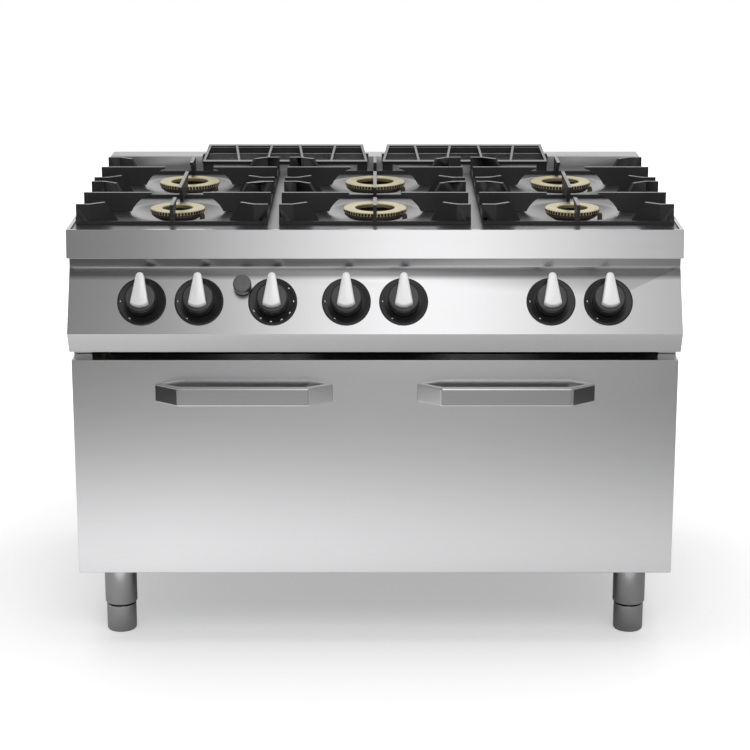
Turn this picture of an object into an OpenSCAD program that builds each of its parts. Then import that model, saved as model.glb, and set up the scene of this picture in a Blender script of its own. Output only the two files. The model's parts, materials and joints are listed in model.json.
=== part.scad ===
// Commercial gas range: six open burners over one wide drop-down oven.
// X runs along the front, +Y goes to the back, +Z is up; the floor is z = 0.

/* [Overall] */
// Width of one pair of burners, front to back; the range is three of them wide
column_pitch = 400; // [360:5:480]
// Depth of the worktop
hob_depth = 710; // [690:5:860]
// Height of the worktop's rim above the floor
worktop_h = 870; // [820:5:1050]
// Clear height under the body
leg_h = 161; // [140:1:200]
// Thickness of the outer sheets
sheet = 1.5; // [1:0.1:2.5]

/* [Worktop] */
// Height of the front fascia
fascia_h = 56; // [40:1:70]
// How far the fascia's lower edge stands ahead of its upper edge
fascia_lean = 7; // [0:0.5:12]
// Width of the raised rim around the deck
rim_w = 8; // [5:1:15]
// Height of the rim above the deck
rim_h = 3; // [2:0.5:5]
// Thickness of the deck plate
deck_t = 2; // [1.5:0.1:3]
// Height of the riser behind the burners, above the rim
riser_h = 30; // [20:1:40]
// Depth of the riser from front to back
riser_depth = 65; // [55:1:80]

/* [Control panel] */
// Height of the recessed neck between the fascia and the panel
neck_h = 25; // [15:1:35]
// How far the neck stands behind the hob's front edge
neck_back = 32; // [20:1:45]
// Height of the sloping face
panel_drop = 119; // [105:1:140]
// How far the sloping face comes forward on its way down
panel_run = 68; // [50:1:80]
// Height of the lower facet
facet_drop = 42; // [30:1:55]
// How far the lower facet goes back
facet_run = 22; // [10:1:30]
// Height of the dark gap between the panel and the door
vent_gap = 20.5; // [12:0.5:30]

/* [Knobs] */
// Distance between the two knobs of one column
knob_pitch = 112; // [104:1:130]
// Distance of the knobs below the panel's top edge
knob_below = 62; // [55:1:75]
// Distance of the oven knob from the middle
oven_knob_x = 200; // [170:1:230]
// Diameter of the fixed dial plate
dial_d = 96; // [80:1:100]
// Diameter of the turning knob
knob_d = 63; // [50:1:70]
// Height of the knob's black body
knob_h = 25; // [18:1:30]
// Height of the pointer on top of the knob
pointer_h = 17; // [10:1:20]
// Length of the pointer
pointer_len = 67; // [50:1:70]
// Width of the pointer at its wide end
pointer_w = 35; // [24:1:40]
// How far a knob is pushed in to let gas through
knob_push = 4; // [2:0.5:5]
// Diameter of the valve spindle
spindle_d = 8; // [6:0.5:10]

/* [Igniter] */
// Distance of the igniter button from the middle
igniter_x = 259; // [250:1:268]
// Distance of the button below the panel's top edge
igniter_below = 36; // [30:1:45]
// Diameter of the button
button_d = 36; // [30:1:38]
// How far the button is pushed
button_push = 5; // [3:0.5:6]

/* [Burners] */
// Distance of the front burners behind the hob's front edge
burner_front = 195; // [185:1:210]
// Distance of the rear burners ahead of the hob's back edge
burner_rear = 229; // [215:1:245]
// Outer diameter of the large brass ring
ring_large_d = 128; // [116:1:134]
// Outer diameter of the small brass ring
ring_small_d = 110; // [96:1:114]
// Width of the ring's flat top
ring_w = 25; // [18:1:30]
// Height of the ring's slotted band
ring_h = 7.5; // [5:0.5:10]
// Height of the ring's top above the deck
ring_top = 8; // [6:0.5:12]
// Radius of the drip bowl's rim
bowl_r = 103; // [95:1:110]
// Depth of the drip bowl
bowl_depth = 25; // [20:1:30]

/* [Pan supports] */
// Gap between two neighbouring pan supports
grid_gap = 22; // [10:1:30]
// Height of the pan supports above the deck
grid_h = 39; // [32:1:45]
// How far a pan support reaches past its burners' centres
grid_reach = 132; // [128:1:140]
// Thickness of the cast fins
fin_t = 7; // [5:0.5:9]
// Distance of the fin tips from the burner's centre
tip_r = 52; // [46:1:60]
// Thickness of the fin tips
tip_t = 3.5; // [3:0.5:8]
// Radius of the arch under each fin
arch_r = 62.7; // [55:0.1:70]

/* [Flue caps] */
// Distance of the flue caps from the middle
cap_x = 200; // [190:1:210]
// Width of a flue cap along its front
cap_w = 367; // [340:1:370]
// How much a flue cap narrows on each side towards the back
cap_taper = 10; // [0:1:15]
// Height of the flue cap's back edge above the deck
cap_h = 52; // [45:1:60]

/* [Door and oven] */
// Thickness of the door
door_t = 46; // [40:1:50]
// Length of a door handle
handle_len = 355; // [300:5:400]
// Height of a door handle's strap
handle_h = 38; // [30:1:45]
// How far a handle stands ahead of the door
handle_out = 35; // [30:1:45]
// Thickness of a handle's strap
handle_t = 14; // [8:1:16]
// Length of each handle's slanted end
handle_end = 49; // [35:1:60]
// Distance of the handles from the middle
handle_x = 259; // [230:1:290]
// Distance of the handles' middle below the door's top edge
handle_below = 67; // [50:1:90]
// Space on each side of the oven, for the wall's insulation and pipes
oven_side = 98; // [90:1:120]
// Thickness of the oven's insulation
wool_t = 30; // [20:1:32]
// Height of the oven's floor plate above the body's underside
floor_rise = 85; // [80:1:100]
// Height of the rack above the oven's floor plate
rack_rise = 144; // [90:1:180]

/* [Legs] */
// Distance of the legs from the body's sides
leg_in_x = 72; // [50:1:100]
// Distance of the legs from the body's front and back edges
leg_in_y = 104; // [80:1:130]
// Diameter of the leg tube
leg_d = 66; // [50:1:70]
// Diameter of the levelling foot
foot_d = 61; // [44:1:64]
// Height of the levelling foot when screwed right in
foot_h = 57; // [40:1:70]
// Diameter of the gas inlet's thread
inlet_d = 21; // [18:0.5:27]
// How far the gas inlet stands out of the back
inlet_out = 25; // [20:1:40]

/* [Hidden] */
$fn = 96;

steel = [0.78, 0.79, 0.80];
polished = [0.88, 0.88, 0.89];
cast_black = [0.13, 0.13, 0.14];
brass = [0.85, 0.78, 0.52];
plastic = [0.10, 0.10, 0.11];

rest_gap = 0.3;     // gap under a piece that rests by its own weight
run_gap = 0.05;     // radial clearance of a shaft that turns or slides
fit_gap = 0.3;      // gap around a piece that only passes through a hole

// Body
columns = 3;
half_w = columns * column_pitch / 2;
column_x = [for (c = [0 : columns - 1]) (c - (columns - 1) / 2) * column_pitch];
inner_w = half_w - sheet;
deck_z = worktop_h - rim_h;
fascia_z = worktop_h - fascia_h;
panel_top_z = fascia_z - neck_h;
panel_low_z = panel_top_z - panel_drop;
facet_z = panel_low_z - facet_drop;
door_top_z = facet_z - vent_gap;
frame_y = door_t + 4;
post_w = 36;
post_depth = 30;
frame_top_z = door_top_z - 1.5;
plate_z = leg_h + deck_t;

// Burners and pan supports
burner_y = [burner_front, hob_depth - burner_rear];
riser_y = hob_depth - riser_depth;
riser_side = 10;
bowl_hole_r = 34;
ring_top_z = deck_z + ring_top;
cup_top_z = ring_top_z - ring_h;
bowl_low_z = deck_z - bowl_depth;
mixer_z = deck_z - 92;
mixer_r = 12;
neck_r = 27;
seat_z = bowl_low_z - 20;
pilot_r = 5;
pilot_gap = 9;
pilot_turn = -35;
grid_half = (column_pitch - grid_gap) / 2;
grid_low_z = deck_z + rest_gap;
grid_top_z = deck_z + grid_h;
grid_bar = 10;
grid_bar_h = 14;
end_bar_h = 6;
finger_y = grid_reach - 8;
finger_in = 28;
finger_turn = 36;
finger_top = 35;
finger_low = 62;

// Knob frame: z points out of the sloping panel, y goes up the slope
panel_lean = atan2(panel_run, panel_drop);
panel_slope = [neck_back, panel_top_z];
function down_slope(below) =
    panel_slope - [below * panel_run / panel_drop, below];
knob_at = down_slope(knob_below);
igniter_at = down_slope(igniter_below);
burner_knob_x = [for (x = column_x) each [x - knob_pitch / 2, x + knob_pitch / 2]];
knob_x = [burner_knob_x[0], burner_knob_x[1], -oven_knob_x, burner_knob_x[2],
    burner_knob_x[3], burner_knob_x[4], burner_knob_x[5]];
oven_knob = 2;
dial_t = 4;
knob_low = dial_t + knob_push + 0.5;
knob_top = knob_low + knob_h;
pointer_top = knob_top + pointer_h;
pointer_low = 21;
pointer_tip_r = 8;
spindle_top = knob_low + 14;
spindle_low = -44;
hub_r = 9;
valve_w = 28;
valve_front = -20;
valve_back = -84;
manifold_h = -70;
manifold_r = 11;
pipe_r = 5;
ball_r = pipe_r + 1.5;
outlet_h = -40;

function from_panel(h, up) = knob_at
    + h * [-cos(panel_lean), sin(panel_lean)]
    + up * [sin(panel_lean), cos(panel_lean)];
manifold_at = from_panel(manifold_h, 0);
outlet_at = from_panel(outlet_h, valve_w / 2);
drain_at = from_panel(outlet_h, -valve_w / 2);

// Oven and door
oven_half = half_w - oven_side;
oven_front = frame_y + 2;
oven_back = hob_depth - 98;
oven_low_z = leg_h + 39;
oven_top_z = door_top_z - 43;
mouth_z = leg_h + floor_rise;
floor_t = 4;
rack_z = mouth_z + rack_rise;
wool_half = oven_half + wool_t;
side_pipe_x = wool_half + 16;
duct_half = 140;
duct_y = max(oven_back + wool_t + 4, riser_y + sheet + 0.5);
duct_depth = 50;
duct_z = oven_top_z - 60;
oven_burner_r = 14;
oven_burner_z = oven_low_z + 22;
oven_burner_y = oven_front + 48;
hinge_y = 32;
hinge_z = leg_h + 7;
hinge_x = half_w - post_w - 10;
hinge_w = 12;
hinge_pin_r = 5;
hinge_eye_r = 6.9;
door_half = half_w - sheet;
door_z = leg_h;
gasket_w = 10;
gasket_half = oven_half + 12;
handle_z = door_top_z - handle_below;

// Legs
leg_x = half_w - leg_in_x;
leg_y = [leg_in_y, hob_depth - leg_in_y];
tube_low_z = foot_h + 3;
stem_r = 8;
stem_top = tube_low_z + 60;

// The origin is under the middle of the whole range's box
front_y = knob_at[0] - pointer_top * cos(panel_lean) - pointer_low * sin(panel_lean);
back_y = hob_depth + inlet_out;
y_shift = -(front_y + back_y) / 2;

// ---- helpers ----
module placed() translate([0, y_shift, 0]) children();

// A box from one corner to the opposite one
module box(low, high) translate(low) cube(high - low);

// The same on both sides of the middle
module both_sides() {
    children();
    mirror([1, 0, 0]) children();
}

// An outline drawn in y and z, made as long as length along x
module along_x(length) rotate([90, 0, 90]) linear_extrude(length, center = true) children();

function left_of(a, b) = [a[1] - b[1], b[0] - a[0]] / norm(b - a);
function corner(a, b, c, t) =
    let (n = left_of(a, b), m = left_of(b, c)) b + (n + m) * t / (1 + n * m);
function shifted(p, t) = [for (i = [0 : len(p) - 1])
    i == 0 ? p[0] + t * left_of(p[0], p[1])
    : i == len(p) - 1 ? p[i] + t * left_of(p[i - 1], p[i])
    : corner(p[i - 1], p[i], p[i + 1], t)];
// The outline of a sheet of thickness t folded along the path p
function folded(p, t) =
    let (q = shifted(p, t)) concat(p, [for (i = [len(q) - 1 : -1 : 0]) q[i]]);

// A round bar between two points
module bar(a, b, r) {
    run = b - a;
    translate(a) rotate([0, acos(run[2] / norm(run)), atan2(run[1], run[0])])
        cylinder(h = norm(run), r = r);
}

// A pipe through points, with a ball-shaped elbow at each bend
module pipe(points, r, elbow_r) {
    for (i = [1 : len(points) - 1]) bar(points[i - 1], points[i], r);
    for (i = [1 : len(points) - 2]) translate(points[i]) sphere(elbow_r);
}

module on_panel(x, at) translate([x, at[0], at[1]]) rotate([90 - panel_lean, 0, 0]) children();
module each_burner() for (x = column_x, y = burner_y) translate([x, y, 0]) children();
module each_leg() for (x = [-leg_x, leg_x], y = leg_y) translate([x, y, 0]) children();

function ring_r(x, y) = (y == burner_y[0] && x != 0 ? ring_small_d : ring_large_d) / 2;

// ---- body ----
module base_frame() color(steel) {
    rail_in = half_w - 55;
    rail_out = inner_w - 0.5;
    rail_front = frame_y + post_depth + 2;
    rail_back = hob_depth - 4;
    rail_top = leg_h + 34;
    difference() {
        union() {
            box([-inner_w, frame_y, leg_h], [inner_w, hob_depth - sheet, plate_z]);
            both_sides() box([rail_in, rail_front, leg_h + 1], [rail_out, rail_back, rail_top]);
        }
        both_sides() box([rail_in + 2, rail_front - 1, plate_z],
            [rail_out - 2, rail_back + 1, rail_top - 2]);
        each_leg() translate([0, 0, leg_h - 1]) cylinder(h = deck_t + 2, r = 6 + fit_gap);
    }
}

module side_panel() color(steel) {
    lip = 18;
    box([inner_w, frame_y, leg_h], [half_w, hob_depth, fascia_z]);
    box([inner_w - lip, hob_depth - 2 * sheet, fascia_z - 60],
        [inner_w + 0.1, hob_depth - sheet, fascia_z]);
}

screw_x = [-half_w + 40, -half_w / 2, 0, half_w / 2, half_w - 40];
screw_z = [leg_h + 45, fascia_z - 90];
screw_r = 2;
module back_panel() color(steel) {
    difference() {
        box([-inner_w, hob_depth - sheet, plate_z], [inner_w, hob_depth, fascia_z]);
        translate([side_pipe_x, hob_depth, manifold_at[1]]) rotate([90, 0, 0])
            cylinder(h = 20, r = inlet_d / 2 + fit_gap, center = true);
        for (x = screw_x, z = screw_z) translate([x, hob_depth, z]) rotate([90, 0, 0])
            cylinder(h = 20, r = screw_r + run_gap, center = true);
        for (i = [-5 : 5]) box([i * 60 - 20, hob_depth - 5, fascia_z - 40],
            [i * 60 + 20, hob_depth + 5, fascia_z - 32]);
    }
}

module panel_screws() color(polished) {
    for (x = screw_x, z = screw_z) translate([x, hob_depth, z]) rotate([90, 0, 0]) {
        translate([0, 0, -2.5]) cylinder(h = 2.5, r = 4.5);
        translate([0, 0, -0.5]) cylinder(h = 8, r = screw_r);
    }
}

module front_frame() color(steel) {
    post_in = half_w - post_w;
    difference() {
        union() {
            box([-inner_w, frame_y, plate_z], [inner_w, oven_front, frame_top_z]);
            both_sides() {
                box([post_in, frame_y, plate_z], [inner_w, oven_front, fascia_z - sheet]);
                box([post_in, frame_y, plate_z],
                    [post_in + 2, frame_y + post_depth, fascia_z - sheet]);
            }
        }
        box([-oven_half, frame_y - 1, mouth_z], [oven_half, oven_front + 1, oven_top_z]);
        both_sides() box([hinge_x - hinge_w / 2 - fit_gap, frame_y - 1, plate_z - 1],
            [hinge_x + hinge_w / 2 + fit_gap, oven_front + 1, hinge_z + hinge_eye_r + 3]);
    }
}

module worktop() color(polished) {
    outline = [[0, worktop_h], [-fascia_lean, fascia_z], [hob_depth, fascia_z],
        [hob_depth, worktop_h]];
    hollow = [[1, deck_z - deck_t], [-fascia_lean + sheet, fascia_z + sheet],
        [neck_back + 17, fascia_z + sheet], [neck_back + 17, fascia_z - 1],
        [hob_depth - sheet, fascia_z - 1], [hob_depth - sheet, deck_z - deck_t]];
    difference() {
        along_x(2 * half_w) polygon(outline);
        along_x(2 * inner_w) polygon(hollow);
        box([-half_w + rim_w, rim_w, deck_z], [half_w - rim_w, hob_depth + 1, worktop_h + 1]);
        each_burner() {
            translate([0, 0, deck_z - 10]) cylinder(h = 20, r = bowl_r - 4);
            translate([0, 0, deck_z - bowl_t]) cylinder(h = 20, r = bowl_r + run_gap);
        }
        box([-half_w + 20, riser_y + 1, deck_z - 10], [half_w - 20, hob_depth - 6, deck_z + 1]);
    }
}

mouth_half = cap_w / 2 + 1.5;
module rear_riser() color(steel) {
    top = worktop_h + riser_h;
    side = half_w - riser_side;
    sill_z = deck_z + 17;
    difference() {
        box([-side, riser_y, deck_z], [side, hob_depth, top]);
        box([-side + sheet, riser_y + sheet, deck_z - 1], [side - sheet, hob_depth - sheet,
            top - sheet]);
        both_sides() box([cap_x - mouth_half, riser_y - 1, sill_z],
            [cap_x + mouth_half, hob_depth - 28, top + 1]);
    }
}

module control_panel() color(polished) {
    path = [[frame_y - 0.5, fascia_z], [neck_back, fascia_z], panel_slope,
        [neck_back - panel_run, panel_low_z],
        [neck_back - panel_run + facet_run, facet_z], [frame_y - 0.5, facet_z]];
    difference() {
        union() {
            along_x(2 * half_w) polygon(folded(path, sheet));
            both_sides() translate([half_w - sheet / 2, 0, 0]) along_x(sheet) polygon(path);
        }
        for (x = knob_x) on_panel(x, knob_at)
            cylinder(h = 20, r = hub_r, center = true);
        on_panel(-igniter_x, igniter_at) cylinder(h = 20, r = hub_r, center = true);
    }
}

// ---- burners ----
bowl_t = 1.2;
bowl_in_r = bowl_r - 5;
bowl_ball_r = (bowl_in_r * bowl_in_r + bowl_depth * bowl_depth) / (2 * bowl_depth);
module bowl_profile() {
    centre_z = bowl_low_z + bowl_ball_r;
    difference() {
        union() {
            translate([0, bowl_low_z]) square([bowl_in_r, bowl_depth]);
            translate([0, deck_z - bowl_t]) square([bowl_r, bowl_t]);
        }
        difference() {
            translate([0, bowl_low_z - 1]) square([bowl_in_r, bowl_depth + 1 - bowl_t]);
            translate([0, centre_z]) circle(bowl_ball_r);
        }
        intersection() {
            translate([0, centre_z + bowl_t]) circle(bowl_ball_r);
            translate([0, bowl_low_z - 1]) square([bowl_in_r, 2 * bowl_depth]);
        }
        translate([-1, bowl_low_z - 1]) square([bowl_hole_r + 1, bowl_depth + 9]);
    }
}
function bowl_rise(r) = bowl_ball_r - sqrt(bowl_ball_r * bowl_ball_r - r * r);
module drip_bowls() color(polished) {
    for (x = column_x, y = burner_y) translate([x, y, 0]) difference() {
        rotate_extrude() bowl_profile();
        rotate([0, 0, pilot_turn]) translate([ring_r(x, y) + pilot_gap, 0, bowl_low_z])
            cylinder(h = 40, r = pilot_r + fit_gap);
    }
}

cup_h = 11;
module burner_bodies() color(cast_black) {
    flange_r = bowl_hole_r + 6;
    flange_z = bowl_low_z + bowl_t + bowl_rise(flange_r);
    for (x = column_x, y = burner_y) translate([x, y, 0]) difference() {
        union() {
            translate([0, 0, cup_top_z - cup_h]) cylinder(h = cup_h, r = ring_r(x, y) - 2);
            translate([0, 0, flange_z]) cylinder(h = cup_top_z - flange_z - 2, r = flange_r);
            translate([0, 0, seat_z]) cylinder(h = 30, r = neck_r);
        }
        translate([0, 0, cup_top_z - cup_h + 3]) cylinder(h = 20, r = ring_r(x, y) - 8);
        translate([0, 0, seat_z - 1]) cylinder(h = 60, r = neck_r - 8);
    }
}

module burner_rings() color(brass) {
    for (x = column_x, y = burner_y) translate([x, y, 0]) difference() {
        translate([0, 0, cup_top_z]) cylinder(h = ring_h, r = ring_r(x, y));
        translate([0, 0, cup_top_z - 1]) cylinder(h = ring_h + 2, r = ring_r(x, y) - ring_w);
        translate([0, 0, cup_top_z - 1]) cylinder(h = ring_h - 2, r = ring_r(x, y) - 7);
    }
}

mixer_len = 104;
module burner_venturis() color(steel) {
    each_burner() difference() {
        union() {
            bar([0, -mixer_len, mixer_z], [0, 0, mixer_z], mixer_r);
            bar([0, -mixer_len, mixer_z], [0, -mixer_len + 8, mixer_z], mixer_r + 5);
            translate([0, 0, mixer_z - mixer_r - 3])
                cylinder(h = seat_z - mixer_z + mixer_r + 3, r = neck_r - 8);
        }
        bar([0, -mixer_len - 1, mixer_z], [0, 0, mixer_z], mixer_r - 3);
        translate([0, 0, mixer_z - mixer_r]) cylinder(h = 100, r = neck_r - 11);
    }
}

module pilot_burners() color(brass) {
    for (x = column_x, y = burner_y) translate([x, y, 0]) rotate([0, 0, pilot_turn])
        translate([ring_r(x, y) + pilot_gap, 0, 0]) {
            translate([0, 0, mixer_z + 20]) cylinder(h = deck_z + 1 - mixer_z - 20, r = pilot_r);
            translate([0, 0, deck_z + 1]) cylinder(h = 3, r = pilot_r - 1.5);
        }
}

// ---- gas ----
inlet_block = 15;
thread_len = inlet_out - 3;
thread_rise = 1.5;
module gas_manifold() color(steel) {
    end_x = side_pipe_x - inlet_block;
    bar([knob_x[0] - 24, manifold_at[0], manifold_at[1]],
        [end_x, manifold_at[0], manifold_at[1]], manifold_r);
}

module gas_inlet() color(steel) {
    at = [side_pipe_x, manifold_at[0], manifold_at[1]];
    end = [at[0], back_y, at[2]];
    translate(at) cube(2 * inlet_block, center = true);
    bar(at, end, inlet_d / 2 - thread_rise);
    bar(end - [0, thread_len, 0], end, inlet_d / 2);
}

module gas_valves() color(brass) {
    for (x = knob_x) on_panel(x, knob_at) difference() {
        union() {
            translate([0, 0, valve_front]) cylinder(h = -valve_front - sheet, r = hub_r + 3);
            translate([-valve_w / 2, -valve_w / 2, valve_back])
                cube([valve_w, valve_w, valve_front - valve_back]);
        }
        translate([0, 0, spindle_low - 1]) cylinder(h = 80, r = spindle_d / 2 + run_gap);
        translate([0, 0, manifold_h]) rotate([0, 90, 0])
            cylinder(h = 60, r = manifold_r + run_gap, center = true);
    }
}

// Each burner's pipe climbs from its valve, crosses to the burner and ends in the injector
module supply_pipes() color(brass) {
    reach = (mixer_z - outlet_at[1]) / cos(panel_lean);
    turn_y = outlet_at[0] + reach * sin(panel_lean);
    for (c = [0 : columns - 1]) {
        left_x = column_x[c] - knob_pitch / 2;
        right_x = column_x[c] + knob_pitch / 2;
        rear_y = burner_y[1] - mixer_len - 25;
        pipe([[left_x, outlet_at[0], outlet_at[1]], [left_x, turn_y, mixer_z],
            [column_x[c], turn_y, mixer_z],
            [column_x[c], burner_y[0] - mixer_len, mixer_z]], pipe_r, ball_r);
        pipe([[right_x, outlet_at[0], outlet_at[1]], [right_x, turn_y, mixer_z],
            [right_x, rear_y, mixer_z], [column_x[c], rear_y, mixer_z],
            [column_x[c], burner_y[1] - mixer_len, mixer_z]], pipe_r, ball_r);
        for (y = burner_y) bar([column_x[c], y - mixer_len - 8, mixer_z],
            [column_x[c], y - mixer_len, mixer_z], mixer_r);
    }
    low_z = facet_z + 32;
    low_run = (drain_at[1] - low_z) / cos(panel_lean);
    low_y = drain_at[0] - low_run * sin(panel_lean);
    back_turn = oven_front + 48;
    pipe([[knob_x[oven_knob], drain_at[0], drain_at[1]], [knob_x[oven_knob], low_y, low_z],
        [-side_pipe_x, low_y, low_z], [-side_pipe_x, back_turn, low_z],
        [-side_pipe_x, back_turn, oven_burner_z],
        [-oven_half - 2 * sheet, back_turn, oven_burner_z]], pipe_r, ball_r);
}

module knob_dials() color(plastic) {
    for (x = knob_x) on_panel(x, knob_at) difference() {
        cylinder(h = dial_t, r = dial_d / 2);
        translate([0, 0, -1]) cylinder(h = 20, r = hub_r + 3);
        translate([0, 0, dial_t - 1.5]) cylinder(h = 5, r = dial_d / 2 - 6);
    }
}

module valve_spindle(x) color(steel) on_panel(x, knob_at) difference() {
    translate([0, 0, spindle_low]) cylinder(h = spindle_top - spindle_low, r = spindle_d / 2);
    translate([spindle_d / 4, -spindle_d, knob_low - knob_push - 1]) cube([20, 40, 60]);
}

module knob(x) on_panel(x, knob_at) {
    color(plastic) difference() {
        union() {
            translate([0, 0, knob_low]) difference() {
                cylinder(h = knob_h, r = knob_d / 2);
                translate([0, 0, -1]) cylinder(h = knob_h - 5, r = knob_d / 2 - 3.5);
            }
            translate([0, 0, knob_low]) cylinder(h = knob_h - 2, r = hub_r);
        }
        difference() {
            translate([0, 0, knob_low - 1])
                cylinder(h = spindle_top + knob_push + 2 - knob_low, r = spindle_d / 2 + run_gap);
            translate([spindle_d / 4 + run_gap, -spindle_d, 0]) cube([20, 40, 60]);
        }
    }
    color(polished) translate([0, 0, knob_top + 2 * run_gap])
        linear_extrude(pointer_h - 2 * run_gap) polygon(pointer_outline);
}

function arc(centre, r, from, to, steps) = [for (i = [0 : steps])
    let (a = from + (to - from) * i / steps) centre + r * [cos(a), sin(a)]];
// A rounded tip and a curved wide end joined by straight sides
pointer_end = 6;
pointer_bend = (pow(pointer_w / 2, 2) + pow(pointer_end, 2)) / (2 * pointer_end);
pointer_half_turn = asin(pointer_w / 2 / pointer_bend);
pointer_outline = concat(
    arc([0, pointer_len - pointer_low - pointer_tip_r], pointer_tip_r, 0, 180, 16),
    arc([0, pointer_bend - pointer_low], pointer_bend, 270 - pointer_half_turn,
        270 + pointer_half_turn, 12));

button_low = button_push + 1;
button_top = 28;
collar_top = button_top - 4 - button_push - 1;
button_stem_r = 3;
module igniter_body() color(plastic) on_panel(-igniter_x, igniter_at) difference() {
    union() {
        cylinder(h = collar_top, r = button_d / 2 - 2.5);
        translate([0, 0, -50]) cylinder(h = 51, r = hub_r - fit_gap);
        translate([0, 0, -sheet - 6]) cylinder(h = 6, r = hub_r + 4);
    }
    translate([0, 0, -30]) cylinder(h = 90, r = button_stem_r + run_gap);
}

module igniter_button() color(plastic) on_panel(-igniter_x, igniter_at) {
    difference() {
        translate([0, 0, button_low]) cylinder(h = button_top - button_low, r = button_d / 2);
        translate([0, 0, button_low - 1])
            cylinder(h = button_top - 4 - button_low + 1, r = button_d / 2 - 2.5 + fit_gap);
    }
    translate([0, 0, -20]) cylinder(h = button_top - 4 + 20.5, r = button_stem_r);
}

// ---- oven ----
module oven_cavity() color(steel) {
    out = oven_half + sheet;
    duct_in = 25;
    difference() {
        box([-out, oven_front, oven_low_z], [out, oven_back, oven_top_z + sheet]);
        box([-oven_half, oven_front - 1, oven_low_z + sheet],
            [oven_half, oven_back - sheet, oven_top_z]);
        translate([-oven_half, oven_front + 48, oven_burner_z]) rotate([0, 90, 0])
            cylinder(h = 20, r = pipe_r + fit_gap, center = true);
        translate([0, oven_back, duct_z + duct_in]) rotate([90, 0, 0])
            cylinder(h = 20, r = duct_in, center = true);
    }
    both_sides() box([oven_half - 25, oven_front, mouth_z - floor_t - sheet],
        [oven_half + 0.5, oven_back - 0.5, mouth_z - floor_t]);
}

module oven_insulation() color([0.85, 0.82, 0.70]) {
    out = oven_half + sheet;
    wool_front = oven_front;
    duct_in = 25;
    difference() {
        box([-wool_half, wool_front, oven_low_z - wool_t], [wool_half, oven_back + wool_t,
            oven_top_z + sheet + wool_t]);
        box([-out, wool_front - 1, oven_low_z], [out, oven_back, oven_top_z + sheet]);
        translate([-oven_half - wool_t / 2, oven_front + 48, oven_burner_z]) rotate([0, 90, 0])
            cylinder(h = wool_t + 10, r = pipe_r + 1, center = true);
        translate([0, oven_back + wool_t / 2, duct_z + duct_in]) rotate([90, 0, 0])
            cylinder(h = wool_t + 10, r = duct_in + sheet, center = true);
        both_sides() box([hinge_x - 30, wool_front - 1, oven_low_z - wool_t - 1],
            [hinge_x + 60, wool_front + 30, hinge_z + 30]);
    }
}

module oven_floor_plate() color(cast_black) {
    z = mouth_z - floor_t;
    difference() {
        box([-oven_half + 2, oven_front + 3, z], [oven_half - 2, oven_back - sheet - 3, mouth_z]);
        for (i = [-3 : 3]) box([i * 120 - 35, oven_back - 60, z - 1],
            [i * 120 + 35, oven_back - 50, mouth_z + 1]);
        for (i = [-3 : 3]) box([i * 120 - 35, oven_front + 20, z - 1],
            [i * 120 + 35, oven_front + 30, mouth_z + 1]);
    }
}

module oven_burner() color(steel) {
    tube_x = oven_half / 2;
    tube_end = oven_back - 60;
    bar([-oven_half + 14, oven_burner_y, oven_burner_z], [tube_x, oven_burner_y, oven_burner_z],
        oven_burner_r - 2);
    for (x = [-tube_x, tube_x]) {
        bar([x, oven_burner_y, oven_burner_z], [x, tube_end, oven_burner_z], oven_burner_r);
        for (y = [oven_burner_y + 40, tube_end - 40])
            box([x - 12, y - 4, oven_low_z + sheet], [x + 12, y + 4, oven_burner_z - 6]);
    }
    bar([-oven_half, oven_burner_y, oven_burner_z],
        [-oven_half + 15, oven_burner_y, oven_burner_z], 6);
}

module oven_flue_duct() color(steel) {
    top = deck_z + 12;
    duct_in = 25;
    low = [-duct_half, duct_y, duct_z - 10];
    high = [duct_half, duct_y + duct_depth, top];
    difference() {
        union() {
            box(low, high);
            translate([0, oven_back, duct_z + duct_in]) rotate([-90, 0, 0])
                cylinder(h = wool_t + 5, r = duct_in);
        }
        box(low + [sheet, sheet, sheet], high + [-sheet, -sheet, 1]);
        translate([0, oven_back - 1, duct_z + duct_in]) rotate([-90, 0, 0])
            cylinder(h = wool_t + 10, r = duct_in - sheet);
    }
}

rail_level = [rack_z - 90, rack_z, rack_z + 80];
module rack_runners() color(polished) {
    both_sides() {
        for (y = [oven_front + 40, oven_back - 60])
            box([oven_half - 5, y, mouth_z], [oven_half, y + 12, rail_level[2] + 20]);
        for (z = rail_level) box([oven_half - 20, oven_front + 20, z - 2],
            [oven_half - 2, oven_back - 20, z]);
    }
}

module oven_rack() color(polished) {
    wire = 4;
    z = rack_z + wire + rest_gap;
    side = oven_half - 11;
    near = oven_front + 20;
    far = oven_back - 14;
    count = 18;
    for (x = [-side, side]) bar([x, near, z], [x, far, z], wire);
    for (y = [near + 10, (near + far) / 2, far - 10]) bar([-side, y, z], [side, y, z], wire - 0.5);
    for (i = [1 : count - 1]) {
        x = -side + i * 2 * side / count;
        bar([x, near + 4, z + 1], [x, far - 4, z + 1], 2);
    }
}

// ---- door ----
module hinge_slots() {
    slot = hinge_w / 2 + 1;
    both_sides() box([hinge_x - slot, hinge_y - 9, leg_h - 1],
        [hinge_x + slot, door_t + 1, hinge_z + 11]);
}

module hinge_brackets() color(steel) {
    both_sides() difference() {
        union() {
            translate([hinge_x, hinge_y, hinge_z]) rotate([0, 90, 0])
                cylinder(h = hinge_w, r = hinge_eye_r, center = true);
            box([hinge_x - hinge_w / 2, hinge_y, hinge_z - 4],
                [hinge_x + hinge_w / 2, frame_y + 22, hinge_z + 5]);
            box([hinge_x - hinge_w / 2, frame_y + 3, plate_z],
                [hinge_x + hinge_w / 2, frame_y + 22, hinge_z]);
        }
        translate([hinge_x, hinge_y, hinge_z]) rotate([0, 90, 0])
            cylinder(h = hinge_w + 2, r = hinge_pin_r + run_gap, center = true);
    }
}

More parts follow.
